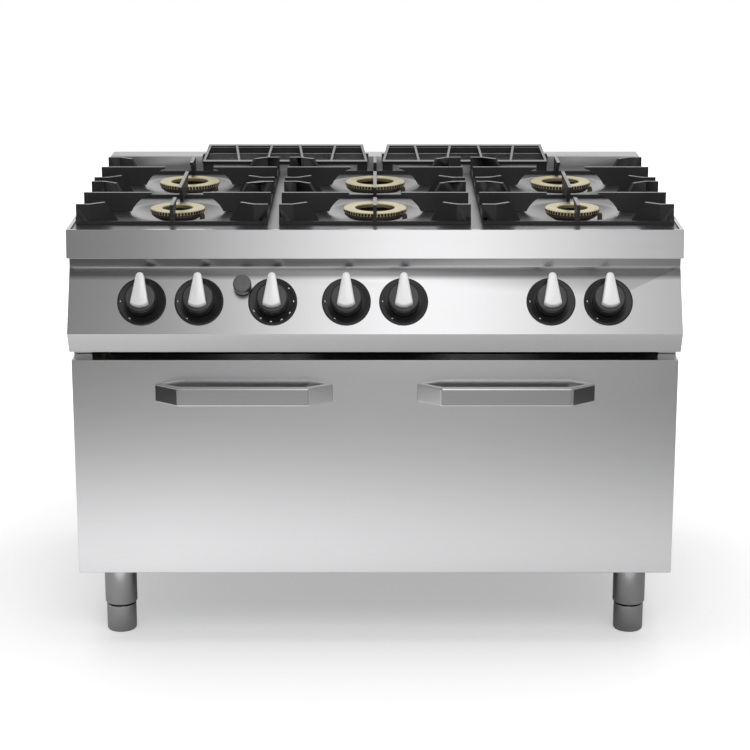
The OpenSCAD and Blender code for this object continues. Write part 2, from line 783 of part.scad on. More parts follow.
lug_w = 8;
module door_hinge_arms() color(steel) {
    pin_half = hinge_w / 2 + 2 + lug_w;
    both_sides() {
        translate([hinge_x, hinge_y, hinge_z]) rotate([0, 90, 0])
            cylinder(h = 2 * pin_half, r = hinge_pin_r, center = true);
        for (x = [hinge_x - pin_half, hinge_x + pin_half - lug_w])
            box([x, hinge_y - 5, hinge_z - 5], [x + lug_w, door_t - sheet, hinge_z + 60]);
    }
}

module door_outer_skin() color(polished) {
    difference() {
        box([-door_half, 0, door_z], [door_half, door_t, door_top_z]);
        box([-door_half + sheet, sheet, door_z + sheet],
            [door_half - sheet, door_t + 1, door_top_z - sheet]);
        hinge_slots();
    }
}

module door_inner_panel() color(steel) {
    difference() {
        box([-door_half + sheet, door_t - sheet, door_z + sheet],
            [door_half - sheet, door_t, door_top_z - sheet]);
        hinge_slots();
    }
}

module door_insulation() color([0.85, 0.82, 0.70]) {
    edge = 70;
    box([-door_half + edge, sheet, door_z + 12],
        [door_half - edge, door_t - sheet, door_top_z - 12]);
}

module door_gasket() color(plastic) {
    low = [-gasket_half - gasket_w, door_t, mouth_z - 12 - gasket_w];
    high = [gasket_half + gasket_w, frame_y - rest_gap, oven_top_z + 12 + gasket_w];
    difference() {
        box(low, high);
        box(low + [gasket_w, -1, gasket_w], high + [-gasket_w, 1, -gasket_w]);
    }
}

// A strap bent forward from the door at both ends
module door_handle(x) color(polished) {
    flat_half = handle_len / 2 - handle_end;
    path = [[-handle_len / 2, 0], [-flat_half, -handle_out], [flat_half, -handle_out],
        [handle_len / 2, 0]];
    inner = [[handle_len / 2 - 1.4 * handle_t, 0], [flat_half - 0.3 * handle_t,
        handle_t - handle_out], [0.3 * handle_t - flat_half, handle_t - handle_out],
        [1.4 * handle_t - handle_len / 2, 0]];
    translate([x, 0, handle_z - handle_h / 2]) linear_extrude(handle_h)
        polygon(concat(path, inner));
}

// ---- pan supports and flue caps ----
// The outline of one fin in distance from the burner and height
module fin(length) {
    rotate([90, 0, 0]) translate([0, 0, -fin_t / 2]) linear_extrude(fin_t) difference() {
        translate([tip_r, grid_low_z]) square([length - tip_r, grid_top_z - grid_low_z]);
        translate([tip_r - 16.5, grid_top_z - tip_t - sqrt(arch_r * arch_r - 16.5 * 16.5)])
            circle(arch_r);
    }
}

module finger() {
    straight = [grid_half - finger_in, grid_half];
    box([straight[0], finger_y - fin_t, grid_low_z], [straight[1], finger_y, grid_top_z]);
    translate([straight[0], finger_y, 0]) rotate([0, 0, 180 + finger_turn])
        rotate([90, 0, 0]) translate([0, 0, -fin_t]) linear_extrude(fin_t)
            polygon([[0, grid_low_z], [finger_low, grid_low_z], [finger_top, grid_top_z],
                [0, grid_top_z]]);
}

module pan_support(x) color(cast_black) translate([x, 0, 0]) {
    near = burner_y[0] - grid_reach;
    far = burner_y[1] + grid_reach;
    half_gap = (burner_y[1] - burner_y[0]) / 2;
    both_sides() {
        box([grid_half - grid_bar, near, grid_low_z], [grid_half, far, grid_low_z + grid_bar_h]);
        for (y = burner_y) translate([0, y, 0]) {
            fin(grid_half);
            finger();
            mirror([0, 1, 0]) finger();
        }
    }
    middle = (near + far - end_bar_h) / 2;
    for (y = [near, middle, far - end_bar_h]) box([-grid_half + 1, y, grid_low_z],
        [grid_half - 1, y + end_bar_h, grid_low_z + end_bar_h]);
    translate([0, burner_y[0], 0]) rotate([0, 0, -90]) fin(grid_reach);
    translate([0, burner_y[0], 0]) rotate([0, 0, 90]) fin(half_gap + 0.1);
    translate([0, burner_y[1], 0]) rotate([0, 0, -90]) fin(half_gap + 0.1);
    translate([0, burner_y[1], 0]) rotate([0, 0, 90]) fin(grid_reach);
}

cap_front = riser_y - 9;
cap_back = hob_depth - 16;
cap_rise = 29;
cap_rim = 6;
cap_t = 9;
cap_leg = 23;
cap_tilt = atan2(cap_rise, cap_back - cap_front);
cap_slope = norm([cap_rise, cap_back - cap_front]);
cap_front_z = deck_z + cap_h - cap_rise;
cap_rib = 5;
cap_zig = 9;
module flue_cap(x) color(cast_black) {
    low_z = deck_z + rest_gap;
    back_w = cap_w / 2 - cap_taper;
    cell = 2 * (cap_w / 2 - cap_rim) / 5;
    translate([x, 0, 0]) {
        translate([0, cap_front, cap_front_z]) rotate([cap_tilt, 0, 0])
            translate([0, 0, -cap_t]) linear_extrude(cap_t) {
                difference() {
                    polygon([[-cap_w / 2, 0], [cap_w / 2, 0], [back_w, cap_slope],
                        [-back_w, cap_slope]]);
                    polygon([[cap_rim - cap_w / 2, cap_rim], [cap_w / 2 - cap_rim, cap_rim],
                        [back_w - cap_rim, cap_slope - cap_rim],
                        [cap_rim - back_w, cap_slope - cap_rim]]);
                }
                for (i = [1 : 4]) {
                    foot_x = (i - 2.5) * cell + (i % 2 == 1 ? cap_zig : -cap_zig) / 2;
                    head_x = (i - 2.5) * cell - (i % 2 == 1 ? cap_zig : -cap_zig) / 2;
                    polygon([[foot_x - cap_rib / 2, 1], [foot_x + cap_rib / 2, 1],
                        [head_x + cap_rib / 2, cap_slope - 1],
                        [head_x - cap_rib / 2, cap_slope - 1]]);
                }
            }
        both_sides() box([cap_w / 2 - cap_leg, cap_front + 4, low_z],
            [cap_w / 2 - 0.5, cap_front + 8, cap_front_z - 3]);
        box([-back_w + 1, cap_back - 9, worktop_h + riser_h + rest_gap],
            [back_w - 1, cap_back - 4, cap_front_z + cap_rise - 6]);
    }
}

// ---- legs ----
module leg_tubes() color(polished) {
    plate_t = 4;
    bush_t = 12;
    tube_t = 3;
    each_leg() {
        difference() {
            union() {
                translate([0, 0, tube_low_z]) cylinder(h = 2, r1 = leg_d / 2 - 2, r2 = leg_d / 2);
                translate([0, 0, tube_low_z + 2])
                    cylinder(h = leg_h - tube_low_z - 2, r = leg_d / 2);
                translate([0, 0, leg_h - 1]) cylinder(h = 6, r = 6);
            }
            translate([0, 0, tube_low_z + bush_t])
                cylinder(h = leg_h - plate_t - tube_low_z - bush_t, r = leg_d / 2 - tube_t);
            translate([0, 0, tube_low_z - 1]) cylinder(h = bush_t + 2, r = stem_r + run_gap);
        }
    }
}

module foot(x, y) color(polished) translate([x, y, 0]) {
    cylinder(h = 3, r1 = foot_d / 2 - 2, r2 = foot_d / 2);
    translate([0, 0, 3]) cylinder(h = foot_h - 3, r = foot_d / 2);
    translate([0, 0, foot_h - 1]) cylinder(h = stem_top - foot_h + 1, r = stem_r);
}

placed() {
    base_frame();
    mirror([1, 0, 0]) side_panel();  // left_side_panel
    side_panel();  // right_side_panel
    back_panel();
    front_frame();
    worktop();
    rear_riser();
    control_panel();
    drip_bowls();
    burner_bodies();
    burner_rings();
    burner_venturis();
    gas_manifold();
    gas_valves();
    supply_pipes();
    pilot_burners();
    igniter_body();
    knob_dials();
    oven_cavity();
    oven_insulation();
    oven_floor_plate();
    oven_burner();
    oven_flue_duct();
    rack_runners();
    oven_rack();
    gas_inlet();
    hinge_brackets();
    leg_tubes();
    panel_screws();
    door_outer_skin();
    door_inner_panel();
    door_insulation();
    door_gasket();
    door_handle(-handle_x);  // door_handle_left
    door_handle(handle_x);  // door_handle_right
    door_hinge_arms();
    for (k = [0 : 6]) {
        knob(knob_x[k]);
        valve_spindle(knob_x[k]);
    }
    igniter_button();
    pan_support(column_x[0]);  // pan_support_left
    pan_support(column_x[1]);  // pan_support_middle
    pan_support(column_x[2]);  // pan_support_right
    flue_cap(-cap_x);  // flue_cap_left
    flue_cap(cap_x);  // flue_cap_right
    foot(-leg_x, leg_y[0]);  // foot_front_left
    foot(leg_x, leg_y[0]);  // foot_front_right
    foot(-leg_x, leg_y[1]);  // foot_rear_left
    foot(leg_x, leg_y[1]);  // foot_rear_right
}
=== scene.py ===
# %% [markdown]
# # A commercial gas range
# This lesson dresses a range whose pieces were already built at their true size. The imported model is
# the frame: every piece made here sits where the frame says, and rides on one of its bodies, so that
# the door, knobs and pan supports still move. We make metal that looks brushed, iron that looks cast,
# and the small round edges that catch the light.

# %% Load the frame
import json
import math

import bmesh
import bpy
from mathutils import Matrix, Vector

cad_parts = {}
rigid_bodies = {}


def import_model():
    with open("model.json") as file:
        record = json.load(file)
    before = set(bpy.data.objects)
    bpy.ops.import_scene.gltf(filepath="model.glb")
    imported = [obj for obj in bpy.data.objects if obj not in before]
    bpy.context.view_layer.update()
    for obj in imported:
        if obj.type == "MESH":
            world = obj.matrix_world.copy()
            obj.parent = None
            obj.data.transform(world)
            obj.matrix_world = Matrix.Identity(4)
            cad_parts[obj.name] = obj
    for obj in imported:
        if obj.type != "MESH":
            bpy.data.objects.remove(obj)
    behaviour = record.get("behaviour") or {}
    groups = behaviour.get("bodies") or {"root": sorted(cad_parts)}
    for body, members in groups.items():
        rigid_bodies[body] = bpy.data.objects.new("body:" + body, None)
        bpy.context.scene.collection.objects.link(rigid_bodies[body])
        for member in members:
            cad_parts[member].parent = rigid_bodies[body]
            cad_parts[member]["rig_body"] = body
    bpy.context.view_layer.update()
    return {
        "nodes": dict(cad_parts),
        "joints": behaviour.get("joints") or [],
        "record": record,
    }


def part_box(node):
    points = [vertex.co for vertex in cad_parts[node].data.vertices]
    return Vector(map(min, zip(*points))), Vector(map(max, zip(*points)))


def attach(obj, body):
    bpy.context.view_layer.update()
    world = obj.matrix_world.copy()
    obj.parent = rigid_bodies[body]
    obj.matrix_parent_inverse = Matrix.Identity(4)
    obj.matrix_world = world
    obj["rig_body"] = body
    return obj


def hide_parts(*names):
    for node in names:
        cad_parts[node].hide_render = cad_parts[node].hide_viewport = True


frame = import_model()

nodes = frame["nodes"]
joints = {joint["name"]: joint for joint in frame["joints"]}
MM = 0.001

# %% [markdown]
# ## The camera
# The range is seen from straight ahead and from a little above a cook's eyes. A long lens from four
# metres keeps the door's sides nearly upright. A very small shift does the rest of the framing.

# %% Camera
fascia_low, fascia_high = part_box("worktop")
hob_front = fascia_low.y
camera_data = bpy.data.cameras.new("camera")
camera_data.sensor_width = 36
camera_data.lens = 101.3
camera_data.shift_y = -0.06
camera = bpy.data.objects.new("camera", camera_data)
camera.location = (0, hob_front - 4.0, 1.724)
camera.rotation_euler = (math.radians(90 - 14.75), 0, 0)
bpy.context.scene.collection.objects.link(camera)
bpy.context.scene.camera = camera
print("camera stands", round(hob_front - camera.location.y, 2), "m ahead of the hob")

# %% [markdown]
# ## Shader maths as plain Python
# A material is a graph of nodes. Writing `noise * 0.2 + 0.3` is easier to read than adding two Math
# nodes and two links by hand, so one small class wraps an output socket and gives it operators. Any
# other node comes from `Graph.node`: its settings are set first, then its inputs.


# %% Sockets with operators
class Wire:
    """An output socket of a graph that Python's arithmetic works on."""

    def __init__(self, graph, socket):
        self.graph, self.socket = graph, socket

    def math(self, operation, *values):
        return self.graph.node("ShaderNodeMath", {"operation": operation}, dict(enumerate(values)))

    def __add__(self, other):
        return self.math("ADD", self, other)

    def __sub__(self, other):
        return self.math("SUBTRACT", self, other)

    def __rsub__(self, other):
        return self.math("SUBTRACT", other, self)

    def __mul__(self, other):
        return self.math("MULTIPLY", self, other)

    __radd__ = __add__
    __rmul__ = __mul__


class Graph:
    """A material's node graph around one Principled shader."""

    def __init__(self, name, **fixed):
        self.material = bpy.data.materials.new(name)
        self.material.use_nodes = True
        self.tree = self.material.node_tree
        self.shader = self.tree.nodes["Principled BSDF"]
        self.set(**fixed)

    def node(self, kind, settings=None, inputs=None, output=0):
        made = self.tree.nodes.new(kind)
        for key, value in (settings or {}).items():
            if key == "stops":
                ramp = made.color_ramp
                while len(ramp.elements) < len(value):
                    ramp.elements.new(1)
                for element, (place, shade) in zip(ramp.elements, value):
                    element.position, element.color = place, (*shade, 1)
            else:
                setattr(made, key, value)
        for key, value in (inputs or {}).items():
            self.put(made.inputs[key], value)
        return Wire(self, made.outputs[output])

    def put(self, socket, value):
        if isinstance(value, Wire):
            self.tree.links.new(value.socket, socket)
        else:
            socket.default_value = value

    def set(self, **inputs):
        for name, value in inputs.items():
            self.put(self.shader.inputs[name.replace("_", " ").title()], value)
        return self

    def place(self, scale=(1, 1, 1)):
        """The point on the piece, in metres, stretched by scale."""
        point = self.node("ShaderNodeTexCoord", output="Object")
        return self.node("ShaderNodeMapping", {}, {"Vector": point, "Scale": scale})

    def noise(self, scale, stretch=(1, 1, 1), detail=3.0, rough=0.5):
        return self.node("ShaderNodeTexNoise", {}, {
            "Vector": self.place(stretch), "Scale": scale, "Detail": detail, "Roughness": rough})

    def bump(self, height, strength, distance):
        return self.node("ShaderNodeBump", {}, {
            "Height": height, "Strength": strength, "Distance": distance})

    def ramp(self, axis, low, high, stops):
        """A brightness that follows stops between low and high metres along axis 0, 1 or 2."""
        point = self.node("ShaderNodeTexCoord", output="Object")
        along = self.node("ShaderNodeSeparateXYZ", {}, {"Vector": point}, output=axis)
        part = (along - low) * (1 / (high - low))
        colours = [(place, (v, v, v)) for place, v in stops]
        return self.node("ShaderNodeValToRGB", {"stops": colours}, {"Fac": part})

    def ray(self, kind):
        """1 on rays of a kind, such as Is Camera Ray, and 0 on all others."""
        return self.node("ShaderNodeLightPath", output=kind)

    def shade(self, amount, dark, light):
        """A colour between dark and light."""
        return self.node("ShaderNodeMix", {"data_type": "RGBA"}, {
            "Factor": amount, 6: (*dark, 1), 7: (*light, 1)}, output=2)


class SkyGraph(Graph):
    """The world's node graph, with the same methods."""

    def __init__(self, name):
        self.world = bpy.data.worlds.new(name)
        self.world.use_nodes = True
        self.tree = self.world.node_tree
        self.shader = self.tree.nodes["Background"]


print("graphs are ready")

# %% [markdown]
# ## Stainless steel
# Rolled and ground steel has fine parallel scratches. Stretched noise gives them: it varies quickly
# across the grain and slowly along it. The same noise moves the colour a little, the roughness more,
# and the surface by a few hundredths of a millimetre. The deck and legs are smoother than the panels.


# %% Steel materials
def steel(name, tint, rough, grain=0.03, stretch=(3, 60, 900), relief=0.00002, band=None):
    graph = Graph(name, metallic=1.0)
    lines = graph.noise(1.0, stretch, detail=4)
    clouds = graph.noise(1.6, detail=2)
    dark = tuple(c * 0.95 for c in tint)
    colour = graph.shade(lines, dark, tint)
    # A band multiplies the colour by a ramp up the height: painted shade.
    if band:
        colour = graph.node("ShaderNodeMix", {"data_type": "RGBA", "blend_type": "MULTIPLY"}, {
            "Factor": 1.0, 6: colour, 7: graph.ramp(2, *band)}, output=2)
    graph.set(
        base_color=colour,
        roughness=lines * grain + clouds * grain + (rough - grain),
        normal=graph.bump(lines, 0.35, relief),
    )
    return graph.material


panel_steel = steel("panel steel", (0.80, 0.80, 0.81), 0.21)
# Painted shade on the control panel: its colour darkens from 0.765 m up, most just below its top fold
# and in the neck under the worktop's lip, with a less darkened line at the fold that keeps its
# highlight.
lip_shade_band = (0.765, 0.815, (
    (0.0, 1.0), (0.18, 0.34), (0.40, 0.30), (0.47, 0.75), (0.55, 0.48), (1.0, 0.42)))
control_steel = steel("control panel steel", (0.80, 0.80, 0.81), 0.21, band=lip_shade_band)
door_steel = steel("door steel", (0.77, 0.77, 0.78), 0.25, stretch=(3, 60, 700))
deck_steel = steel("deck steel", (0.83, 0.83, 0.84), 0.15, 0.02, (4, 90, 90), 0.00001)
# The hob floor is the deck steel made darker: painted shade of the recess under the pan supports.
shaded_hob_steel = steel("hob floor steel", (0.46, 0.46, 0.47), 0.34, 0.03, (4, 90, 90), 0.000005)
bowl_steel = steel("bowl steel", (0.60, 0.59, 0.59), 0.34, 0.03, (60, 60, 60), 0.000005)
leg_steel = steel("leg steel", (0.52, 0.52, 0.53), 0.15, 0.03, (500, 500, 3), 0.00001)
handle_steel = steel("handle steel", (0.82, 0.82, 0.83), 0.16, 0.03, (3, 500, 500), 0.00001)
riser_steel = steel("riser steel", (0.84, 0.84, 0.85), 0.42, stretch=(3, 60, 700))
side_steel = steel("side steel", (0.74, 0.74, 0.75), 0.36, stretch=(60, 3, 700))
liner_steel = steel("oven liner steel", (0.50, 0.49, 0.48), 0.42, 0.08, (30, 30, 30))
zinc_steel = steel("zinc coated steel", (0.60, 0.61, 0.62), 0.5, 0.12, (25, 25, 25), 0.0001)
chrome = steel("bright wire", (0.85, 0.85, 0.87), 0.10, 0.02, (200, 200, 200), 0.00001)
print("steel finishes are ready")

# %% [markdown]
# ## Cast iron
# Enamelled castings keep the fine pebbled skin of the sand mould. Their edges and tops are rubbed by
# pans and catch the light, so the rounded edges and top faces get a lighter grey of their own, partly
# wear and partly painted highlight: the bevel that makes them can name it.


# %% Cast iron materials
def casting(name, dark, light, rough, pebble):
    graph = Graph(name)
    grain = graph.noise(900, detail=3)
    patch = graph.noise(14, detail=4)
    graph.set(
        base_color=graph.shade(patch, dark, light),
        roughness=grain * 0.12 + patch * 0.15 + (rough - 0.13),
        normal=graph.bump(grain, 0.5, pebble),
    )
    return graph.material


iron = casting("black casting", (0.016, 0.016, 0.017), (0.032, 0.032, 0.034), 0.46, 0.0002)
# A light grey casting for rounded edges and top faces: partly wear from pans, partly painted
# highlight.
iron_edge = casting("casting edge wear and highlight", (0.22, 0.22, 0.22), (0.36, 0.36, 0.36), 0.42, 0.0001)
burner_iron = casting("burner casting", (0.045, 0.030, 0.024), (0.085, 0.060, 0.048), 0.5, 0.0003)

# %% [markdown]
# ## Brass, plastic and the rest
# The burner rings are turned brass: pale, with a fine speckle and a little heat tint.
# The knobs are glossy black mouldings, with a dull grey face and a light satin pointer.


# %% Other materials
def brass_material():
    graph = Graph("turned brass", metallic=1.0)
    patch = graph.noise(40, detail=5, rough=0.6)
    speck = graph.noise(700, detail=2)
    graph.set(
        base_color=graph.shade(patch, (0.84, 0.74, 0.42), (1.0, 0.94, 0.68)),
        roughness=patch * 0.2 + speck * 0.1 + 0.2,
        normal=graph.bump(speck, 0.4, 0.0001),
    )
    return graph.material


def moulding(name, dark, light, rough, speck_scale=1500, speck_depth=0.00004, **fixed):
    graph = Graph(name, **fixed)
    speck = graph.noise(speck_scale, detail=2)
    patch = graph.noise(18, detail=2)
    graph.set(
        base_color=graph.shade(patch, dark, light),
        roughness=speck * 0.06 + patch * 0.06 + (rough - 0.06),
        normal=graph.bump(speck, 0.4, speck_depth),
    )
    return graph.material


brass = brass_material()
black = moulding("black moulding", (0.008, 0.008, 0.009), (0.014, 0.014, 0.015), 0.22)
button_grey = moulding("grey button", (0.095, 0.095, 0.098), (0.14, 0.14, 0.143), 0.24)
grey_face = moulding("grey knob face", (0.050, 0.050, 0.052), (0.075, 0.075, 0.078), 0.38)
pointer_white = moulding("satin pointer", (0.88, 0.88, 0.88), (0.94, 0.94, 0.94), 0.34,
    metallic=0.3)
mark_white = moulding("dial mark", (0.72, 0.72, 0.72), (0.80, 0.80, 0.80), 0.5)
wool = moulding("mineral wool", (0.075, 0.068, 0.055), (0.12, 0.11, 0.09), 0.95, 220, 0.002)
seal = moulding("oven seal", (0.018, 0.018, 0.018), (0.035, 0.035, 0.035), 0.8, 500, 0.0004)
copper = moulding("supply pipe brass", (0.60, 0.48, 0.24), (0.74, 0.62, 0.36), 0.34, metallic=1.0)
print("materials:", len(bpy.data.materials))

# %% [markdown]
# ## Helpers that make pieces
# Two ways of making a piece cover most of the range. `softened` copies a frame node and rounds its
# edges, which is right for folded sheet and for castings. `lathe` turns a profile round an axis, which
# is right for knobs, rings, bowls and legs. `rounded` softens a profile's corners before it is turned,
# and `joined` makes one mesh of several.


# %% Making pieces
def finish_piece(piece, body, slot, materials, *stands_for):
    bpy.context.scene.collection.objects.link(piece)
    for material in materials:
        piece.data.materials.append(material)
    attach(piece, body)
    if stands_for:
        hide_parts(*stands_for)
    return piece


def smooth(mesh, angle=32):
    mesh.shade_smooth()
    mesh.set_sharp_from_angle(angle=math.radians(angle))


def slot_of(node):
    rows = frame["record"]["subparts"]
    return next(row["material_slot"] for row in rows if row["node"] == node)


def round_edges(piece, width, steps=3, edge_material=-1):
    bevel = piece.modifiers.new("round edges", "BEVEL")
    bevel.width = width
    bevel.segments = steps
    bevel.limit_method = "WEIGHT"
    bevel.material = edge_material
    bevel.harden_normals = True


def merged_copy(node, name, keep_sharp=None, top_from=None, top_below=9.0, angle=24):
    """The node's mesh with its flat faces in one piece each, ready for a bevel. Edges that
    keep_sharp picks stay as they are. Faces that look up between the two top heights take
    material 1."""
    mesh = bpy.data.meshes.new(name)
    work = bmesh.new()
    work.from_mesh(nodes[node].data)
    bmesh.ops.remove_doubles(work, verts=work.verts, dist=0.00001)
    bmesh.ops.dissolve_limit(work, angle_limit=math.radians(0.6), verts=work.verts,
        edges=work.edges)
    weight = work.edges.layers.float.new("bevel_weight_edge")
    for edge in work.edges:
        if len(edge.link_faces) != 2 or edge.calc_face_angle(0) < math.radians(angle):
            continue
        middle = (edge.verts[0].co + edge.verts[1].co) / 2
        edge[weight] = 0.0 if keep_sharp and keep_sharp(middle) else 1.0
    for face in work.faces:
        height = face.calc_center_median().z
        on_top = top_from and face.normal.z > 0.7 and top_from < height < top_below
        face.material_index = 1 if on_top else 0
    work.to_mesh(mesh)
    work.free()
    return mesh


def softened(node, width, material, second=None, steps=3, keep_sharp=None, top_from=None,
        top_below=9.0):
    """A copy of a frame node with rounded edges, in place of the node. The second material goes on
    the rounded edges and on the faces between the two top heights."""
    mesh = merged_copy(node, node + "_shape", keep_sharp, top_from, top_below)
    smooth(mesh)
    piece = bpy.data.objects.new(node + "_shape", mesh)
    materials = [material] + ([second] if second else [])
    finish_piece(piece, nodes[node]["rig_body"], slot_of(node), materials, node)
    round_edges(piece, width, steps, 1 if second else -1)
    return piece


def lathe(name, profile, place, steps, shape=None):
    """Turns a closed profile of (radius, height) round the z axis, then puts it at place.
    shape(radius, height, turn) may move a point, to cut slots or teeth."""
    mesh = bpy.data.meshes.new(name)
    count = len(profile)
    points = []
    for i in range(steps):
        turn = 2 * math.pi * i / steps
        for r, z in profile:
            if shape:
                r, z = shape(r, z, turn)
            points.append(place @ Vector((r * math.cos(turn), r * math.sin(turn), z)))
    faces = []
    for i in range(steps):
        a, b = i * count, (i + 1) % steps * count
        for k in range(count):
            m = (k + 1) % count
            faces.append((a + k, b + k, b + m, a + m))
    mesh.from_pydata([tuple(p) for p in points], [], faces)
    mesh.validate()
    smooth(mesh)
    return bpy.data.objects.new(name, mesh)


def rounded(corners, radius, steps=4):
    """The closed outline through corners, each turned in a small arc."""
    outline = []
    count = len(corners)
    for i, corner in enumerate(corners):
        here = Vector(corner)
        to_last = Vector(corners[i - 1]) - here
        to_next = Vector(corners[(i + 1) % count]) - here
        cut = min(radius, to_last.length * 0.45, to_next.length * 0.45)
        start = here + to_last.normalized() * cut
        end = here + to_next.normalized() * cut
        for k in range(steps + 1):
            t = k / steps
            outline.append(tuple(start * (1 - t) ** 2 + here * 2 * t * (1 - t) + end * t ** 2))
    return outline


def joined(name, pieces):
    """Several meshes as one."""
    mesh = bpy.data.meshes.new(name)
    work = bmesh.new()
    for piece in pieces:
        work.from_mesh(piece.data)
        bpy.data.objects.remove(piece)
    work.to_mesh(mesh)
    work.free()
    smooth(mesh)
    return bpy.data.objects.new(name, mesh)


print("helpers are ready")

# %% [markdown]
# ## Burner positions
# Three columns of two burners. The columns are centred on the pan supports and the rows on the drip
# bowls. The front burners of the outer columns are small ones.

# %% Where the burners are
column_x = [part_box("pan_support_" + place) for place in ("left", "middle", "right")]
column_x = [(low.x + high.x) / 2 for low, high in column_x]
ring_low, ring_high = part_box("burner_rings")
bowl_low, bowl_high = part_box("drip_bowls")
body_low, body_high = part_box("burner_bodies")
bowl_r = 103 * MM
large_r, small_r = 64 * MM, 55 * MM
burner_y = (bowl_low.y + bowl_r, bowl_high.y - bowl_r)
burners = [(x, y, small_r if y == burner_y[0] and abs(x) > 0.1 else large_r)
    for x in column_x for y in burner_y]
print("burners at", [(round(x, 2), round(y, 2)) for x, y, r in burners])

# %% [markdown]
# ## Folded sheet
# The worktop, panel, door and riser are folded from sheet, and a fold is never sharp. Rounding each
# copy's edges by one or two millimetres draws the thin bright lines that tell the eye it is steel.

# %% Sheet metal pieces
def by_a_bowl(point):
    """Whether a point lies on the rebate of one of the six bowls."""
    return any((point.x - x) ** 2 + (point.y - y) ** 2 < (bowl_r + 3 * MM) ** 2
        for x, y, r in burners)


# The worktop's upward faces below its top take the darker hob floor steel, painted shade under the pan
# supports.
worktop = softened("worktop", 1.4 * MM, deck_steel, shaded_hob_steel, keep_sharp=by_a_bowl,
    top_from=0.5, top_below=fascia_high.z - 1 * MM)
worktop.modifiers["round edges"].material = 0  # its folds stay deck steel
softened("rear_riser", 1.0 * MM, riser_steel)
softened("control_panel", 1.6 * MM, control_steel)
softened("door_outer_skin", 2.2 * MM, door_steel)
softened("front_frame", 0.8 * MM, panel_steel)
for side in ("left", "right"):
    softened(side + "_side_panel", 0.7 * MM, side_steel)
    softened("door_handle_" + side, 3.4 * MM, handle_steel, steps=5)
softened("back_panel", 0.5 * MM, zinc_steel)
print("sheet pieces stand for their nodes")

# %% [markdown]
# ## Pan supports and flue caps
# These are castings. The same rounding is used, and here the rounded edges and top faces take the
# lighter edge grey: partly wear, partly painted highlight.

# %% Castings
support_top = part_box("pan_support_left")[1].z
for place in ("left", "middle", "right"):
    softened("pan_support_" + place, 0.9 * MM, iron, iron_edge, 2, top_from=support_top - 4 * MM)
cap_edge = support_top - 18 * MM
for place in ("left", "right"):
    softened("flue_cap_" + place, 1.1 * MM, iron, iron_edge, 2, top_from=cap_edge)
softened("oven_floor_plate", 0.8 * MM, iron, steps=2)

# %% [markdown]
# ## Burners
# A burner is a shallow iron cup under a brass ring. The ring has a flat top and a band of fine slots
# where the flame comes out. The slots are cut by a function that pulls the band's radius in and out
# as the profile turns, so they are real notches.

# %% Brass rings
def ring_piece(index, x, y, outer):
    inner = outer - 25 * MM
    low, high = ring_low.z, ring_high.z
    slot_low, slot_high = low + 0.6 * MM, high - 1.5 * MM
    slots = 60 if outer == large_r else 52
    corners = [(inner, low), (outer - 7 * MM, low), (outer - 6.5 * MM, low + 0.01 * MM),
        (outer, low + 0.02 * MM), (outer, slot_low), (outer, slot_high),
        (outer, slot_high + 0.1 * MM), (outer, high - 0.9 * MM),
        (outer - 1.2 * MM, high), (inner + 1.6 * MM, high), (inner, high - 1.6 * MM)]
    steps = slots * 6

    def notch(r, z, turn):
        in_slot = round(turn / (2 * math.pi) * steps) % 6 < 3
        cut = in_slot and r > outer - 0.1 * MM and slot_low - 0.01 * MM < z < slot_high + 0.01 * MM
        return (r - 4.0 * MM, z) if cut else (r, z)

    ring = lathe(f"burner_ring_{index}", corners, Matrix.Translation((x, y, 0)), steps, notch)
    # The faces inside the slots take the dark burner casting: painted shade in the notches.
    for face in ring.data.polygons:
        r = math.hypot(face.center.x - x, face.center.y - y)
        inside = outer - 4.6 * MM < r < outer - 1.5 * MM
        face.material_index = 1 if inside and slot_low < face.center.z < slot_high else 0
    return ring


rings = [ring_piece(i, *burner) for i, burner in enumerate(burners)]
finish_piece(joined("brass_rings", rings), "root", "brass", [brass, burner_iron], "burner_rings")
print("made", len(rings), "brass rings")

# %% [markdown]
# ## Cups and bowls
# The cups are turned too. A drip bowl is part of a ball pressed into thin sheet, with a flat rim that
# lies in the hob and a hole for the burner's neck.


# %% Burner cups and drip bowls
def cup_piece(index, x, y, outer):
    low, top = body_low.z, body_high.z
    side = outer - 2 * MM
    neck, hollow = 27 * MM, 19 * MM
    corners = [(hollow, low), (neck, low), (neck, top - 16 * MM), (40 * MM, top - 14.5 * MM),
        (40 * MM, top - 11 * MM), (side - 7 * MM, top - 11 * MM), (side, top - 5 * MM), (side, top),
        (side - 6 * MM, top), (side - 7 * MM, top - 8 * MM), (hollow, top - 8 * MM)]
    return lathe(f"cup_{index}", rounded(corners, 1.5 * MM, 2), Matrix.Translation((x, y, 0)), 96)


def bowl_piece(index, x, y, outer):
    top, deep, thin = bowl_high.z, 25 * MM, 1.2 * MM
    inside = bowl_r - 5 * MM
    ball = (inside ** 2 + deep ** 2) / (2 * deep)
    hole = 34 * MM
    curve = []
    for k in range(25):
        r = inside + (hole - inside) * k / 24
        curve.append((r, top - deep + ball - math.sqrt(ball ** 2 - r ** 2)))
    upper = [(r, z) for r, z in curve if z < top - 0.3 * MM]
    corners = [(bowl_r, top - thin), (bowl_r, top - 0.3 * MM), (bowl_r - 0.4 * MM, top),
        (inside + 0.8 * MM, top)]
    under = [(r, max(z - thin, bowl_low.z)) for r, z in reversed(upper)]
    profile = corners + upper + under + [(inside, top - thin)]
    return lathe(f"bowl_{index}", profile, Matrix.Translation((x, y, 0)), 128)


cups = [cup_piece(i, *burner) for i, burner in enumerate(burners)]
finish_piece(joined("iron_cups", cups), "root", "burner_iron", [burner_iron], "burner_bodies")
bowls = [bowl_piece(i, *burner) for i, burner in enumerate(burners)]
finish_piece(joined("bowls", bowls), "root", "polished_steel", [bowl_steel], "drip_bowls")
print("made", len(cups), "cups and", len(bowls), "bowls")

